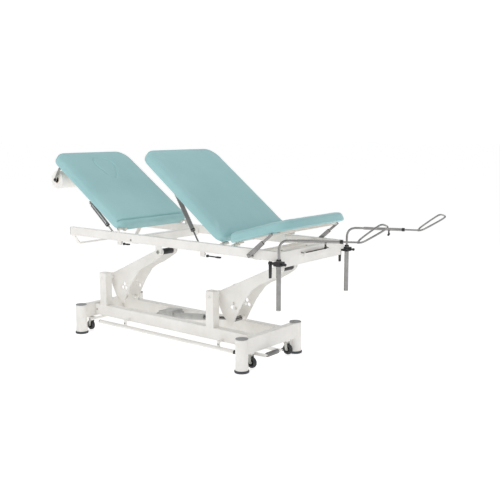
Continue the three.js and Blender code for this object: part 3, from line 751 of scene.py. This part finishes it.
# ---------- paper roll ----------
roll_centre = Vector(JOINTS["paper_roll_spin"]["pos_m"])
roll_centre.y = BASE_Y
roll_profile = [(20.5, -285)]
for k in range(12):
    roll_profile += [(22 + k * 2.9, -284.6 - 0.5 * (k % 2)), (23.4 + k * 2.9, -284.2 - 0.4 * (k % 3))]
roll_profile += [(56.4, -284.6), (57, -283)]
for k in range(1, 8):
    roll_profile.append((57 + 0.25 * math.sin(k * 1.9), -283 + 566 * k / 8))
roll_profile += [(57, 283), (56.4, 284.6)]
for k in reversed(range(12)):
    roll_profile += [(23.4 + k * 2.9, 284.2 + 0.4 * (k % 3)), (22 + k * 2.9, 284.6 + 0.5 * (k % 2))]
roll_profile += [(20.5, 285), (20.5, -285)]
roll = turned(
    "paper_roll_sheets", roll_profile, roll_centre, (0, 1, 0), PAPER, "paper_roll", 56)
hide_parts("paper_roll")
core = [(17.4, -286.5), (20.3, -286.5), (20.3, 286.5), (17.4, 286.5), (17.4, -286.5)]
turned("paper_roll_core", core, roll_centre, (0, 1, 0), CARD, "paper_roll", 40)
for side_name, side in (("front", -1), ("back", 1)):
    turned(
        f"roll_end_nut_{side_name}",
        [(4, 0), (10.5, 0), (11, 1.5), (9, 4), (0.5, 4.6)],
        roll_centre + Vector((0, side * 300.2 * MM, 0)), (0, side, 0), BLACK, "head_section",
        30)

# ---------- leg holders ----------
STIRRUP_TOP = 767
STIRRUP_TUBE_TOP = 660
ARM_END = 322
SLIDER_START = 170
SLIDER_END = 400
SLIDER_RADIUS = 5.0
LOOP_RADIUS = 4.8
LOOP_TILT = 32
LOOP_TURN = 19
LOOP_HALF_OUTLINE = [(12, 32), (56, 50), (126, 62), (151, 50)]
LOOP_OUTLINE = [(0, 0), *LOOP_HALF_OUTLINE, (156, 0)]
LOOP_OUTLINE += [(p, -q) for p, q in reversed(LOOP_HALF_OUTLINE)]


def stirrup_frame(side_name):
    """Local frame of a leg holder: origin on its post's axis at the floor, X along the arm."""
    axis = Vector(JOINTS[f"stirrup_swivel_{side_name}"]["pos_m"])
    reach = Vector(JOINTS[f"stirrup_reach_{side_name}"]["axis"])
    turn = math.atan2(reach.y, reach.x)
    return Matrix.Translation((axis.x, axis.y, 0)) @ Matrix.Rotation(turn, 4, "Z")


def heel_loop_points():
    """The bent-rod loop: up and outwards, wide at the heel, closed at the slider's end."""
    tilt, turn = math.radians(LOOP_TILT), math.radians(LOOP_TURN)
    points = []
    for p, q in smooth_closed(LOOP_OUTLINE, 8):
        along = p * math.cos(tilt)
        points.append(Vector((
            SLIDER_END + along * math.cos(turn) - q * math.sin(turn),
            along * math.sin(turn) + q * math.cos(turn),
            STIRRUP_TOP + p * math.sin(tilt))) * MM)
    return points


for side_name, side in (("front", -1), ("back", 1)):
    local = stirrup_frame(side_name)
    loop = tube_along(
        f"heel_loop_{side_name}", [local @ p for p in heel_loop_points()], LOOP_RADIUS, CHROME,
        f"stirrup_footrest_{side_name}", cyclic=True)
    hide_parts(f"stirrup_footrest_{side_name}")
    tube_along(
        f"footrest_slider_{side_name}",
        [local @ (Vector((x, 0, STIRRUP_TOP)) * MM) for x in (SLIDER_START, 260, 340, SLIDER_END + 1)],
        SLIDER_RADIUS, CHROME,
        f"stirrup_footrest_{side_name}")
    turned(
        f"footrest_weld_{side_name}", [(4.9, -12), (6, -9), (6.9, -3), (6.9, 2), (5.5, 6), (2, 8)],
        local @ (Vector((SLIDER_END, 0, STIRRUP_TOP)) * MM), local.to_3x3() @ Vector((1, 0, 0)),
        CHROME, f"stirrup_footrest_{side_name}", 24)
    turned(
        f"arm_end_collar_{side_name}",
        [(5.6, -16), (9.2, -16), (9.8, -14), (9.8, -2), (9.2, 0), (5.6, 0)],
        local @ (Vector((ARM_END, 0, STIRRUP_TOP)) * MM), local.to_3x3() @ Vector((1, 0, 0)),
        BLACK, f"stirrup_arm_{side_name}", 32)
    turned(
        f"tube_foot_plug_{side_name}", [(12.4, 0.4), (12.8, 0), (12.8, -3), (10, -5), (0.5, -5.4)],
        local @ (Vector((0, 0, 407)) * MM), UP, GREY, f"stirrup_tube_{side_name}",
        32)
    turned(
        f"tube_collar_{side_name}",
        [(7.0, 0), (12.4, 0), (12.8, 1), (12.8, 6), (11, 8), (7.0, 8)],
        local @ (Vector((0, 0, STIRRUP_TUBE_TOP)) * MM), UP, BLACK, f"stirrup_tube_{side_name}",
        32)

# ---------- gas springs ----------
def spring_line(tag):
    """Start and direction of a gas spring, from its joints."""
    start = Vector(JOINTS[f"{tag}_spring_swing"]["pos_m"])
    along = Vector(JOINTS[f"{tag}_spring_stroke"]["axis"])
    return start, along


for tag, body_length in (("head", 205), ("back", 265)):
    start, along = spring_line(tag)
    turned(
        f"{tag}_spring_gland",
        [(5.7, 0), (11, 0), (12.4, -1.2), (12.4, -6), (13.3, -8), (13.3, -13), (13.0, -13.5)],
        start + along * (body_length + 1.5) * MM, along, BLACK, f"{tag}_spring_body",
        36)
    turned(
        f"{tag}_spring_shoulder", [(7.2, 0), (10.5, 1), (12.6, 3.5), (13.4, 7), (13.4, 12), (13.1, 12.5)],
        start + along * 18 * MM, along, STEEL, f"{tag}_spring_body", 36)

# ---------- stage, light and camera ----------
floor_mesh = mesh_from(
    [(-60, -60, 0), (60, -60, 0), (60, 60, 0), (-60, 60, 0)], [(0, 1, 2, 3)], "floor")
floor = bpy.data.objects.new("floor", floor_mesh)
bpy.context.scene.collection.objects.link(floor)
floor.location.z = -0.0005
floor_look = Nodes("pale_floor")
floor_tone = floor_look.ramp(
    floor_look.noise(floor_look.place(), 0.8, 2.0),
    [(0.3, (0.60, 0.60, 0.60)), (0.7, (0.61, 0.61, 0.61))])
floor_look.set(
    Roughness=0.9, Specular_IOR_Level=0.0, Emission_Color=(1, 1, 1, 1), Emission_Strength=0.72)
floor_mesh.materials.append(floor_look.finish(floor_tone))

SKY_HORIZON = 1.05
SKY_OVERHEAD = 0.42
SKY_BANDS = (-131, 29)           # bearings of two dark bands of sky, for contrast in the chrome
SKY_BAND_LEVEL = 0.06


def studio_sky():
    """White sky: bright around the horizon, dimmer overhead, with two dark bands."""
    world = bpy.data.worlds.new("studio")
    world.use_nodes = True
    nodes, link = world.node_tree.nodes, world.node_tree.links.new
    backdrop = nodes["Background"]
    backdrop.inputs["Color"].default_value = (1.0, 1.0, 1.0, 1)
    where = nodes.new("ShaderNodeTexCoord")
    height = nodes.new("ShaderNodeSeparateXYZ")
    level = nodes.new("ShaderNodeMapRange")
    level.inputs["From Min"].default_value = 0.2
    level.inputs["From Max"].default_value = 0.5
    level.inputs["To Min"].default_value = SKY_HORIZON
    level.inputs["To Max"].default_value = SKY_OVERHEAD
    link(where.outputs["Generated"], height.inputs["Vector"])
    link(height.outputs["Z"], level.inputs["Value"])
    strength = level.outputs["Result"]
    for bearing in SKY_BANDS:
        turn = math.radians(bearing)
        facing = nodes.new("ShaderNodeVectorMath")
        facing.operation = "DOT_PRODUCT"
        facing.inputs[1].default_value = (math.cos(turn), math.sin(turn), 0)
        shade = nodes.new("ShaderNodeMapRange")
        shade.interpolation_type = "SMOOTHSTEP"
        shade.inputs["From Min"].default_value = 0.80
        shade.inputs["From Max"].default_value = 0.95
        shade.inputs["To Min"].default_value = 1.0
        shade.inputs["To Max"].default_value = SKY_BAND_LEVEL
        product = nodes.new("ShaderNodeMath")
        product.operation = "MULTIPLY"
        link(where.outputs["Generated"], facing.inputs[0])
        link(facing.outputs["Value"], shade.inputs["Value"])
        link(strength, product.inputs[0])
        link(shade.outputs["Result"], product.inputs[1])
        strength = product.outputs["Value"]
    link(strength, backdrop.inputs["Strength"])
    return world


bpy.context.scene.world = studio_sky()
bpy.context.scene.view_settings.view_transform = "Standard"


def soft_light(name, where, aim, size, power):
    light = bpy.data.lights.new(name, "AREA")
    light.shape = "RECTANGLE"
    light.size, light.size_y = size
    light.energy = power
    obj = bpy.data.objects.new(name, light)
    bpy.context.scene.collection.objects.link(obj)
    obj.location = where
    obj.rotation_euler = (Vector(aim) - Vector(where)).to_track_quat("-Z", "Y").to_euler()


soft_light("key", (-1.6, -3.2, 3.4), (0, 0, 0.6), (2.6, 2.0), 42)
soft_light("overhead", (0.2, 0.2, 4.2), (0, 0, 0.4), (3.6, 2.4), 30)
soft_light("fill", (3.8, 0.6, 1.8), (0, 0, 0.6), (2.0, 2.0), 12)

camera_data = bpy.data.cameras.new("camera")
camera_data.sensor_width = 36
camera_data.lens = 56.8
camera_data.clip_end = 200
camera = bpy.data.objects.new("camera", camera_data)
bpy.context.scene.collection.objects.link(camera)
camera.location = at(3321, -3478, 1330)
camera.rotation_euler = (math.radians(90 - 8.87), 0, math.radians(38.73))
bpy.context.scene.camera = camera
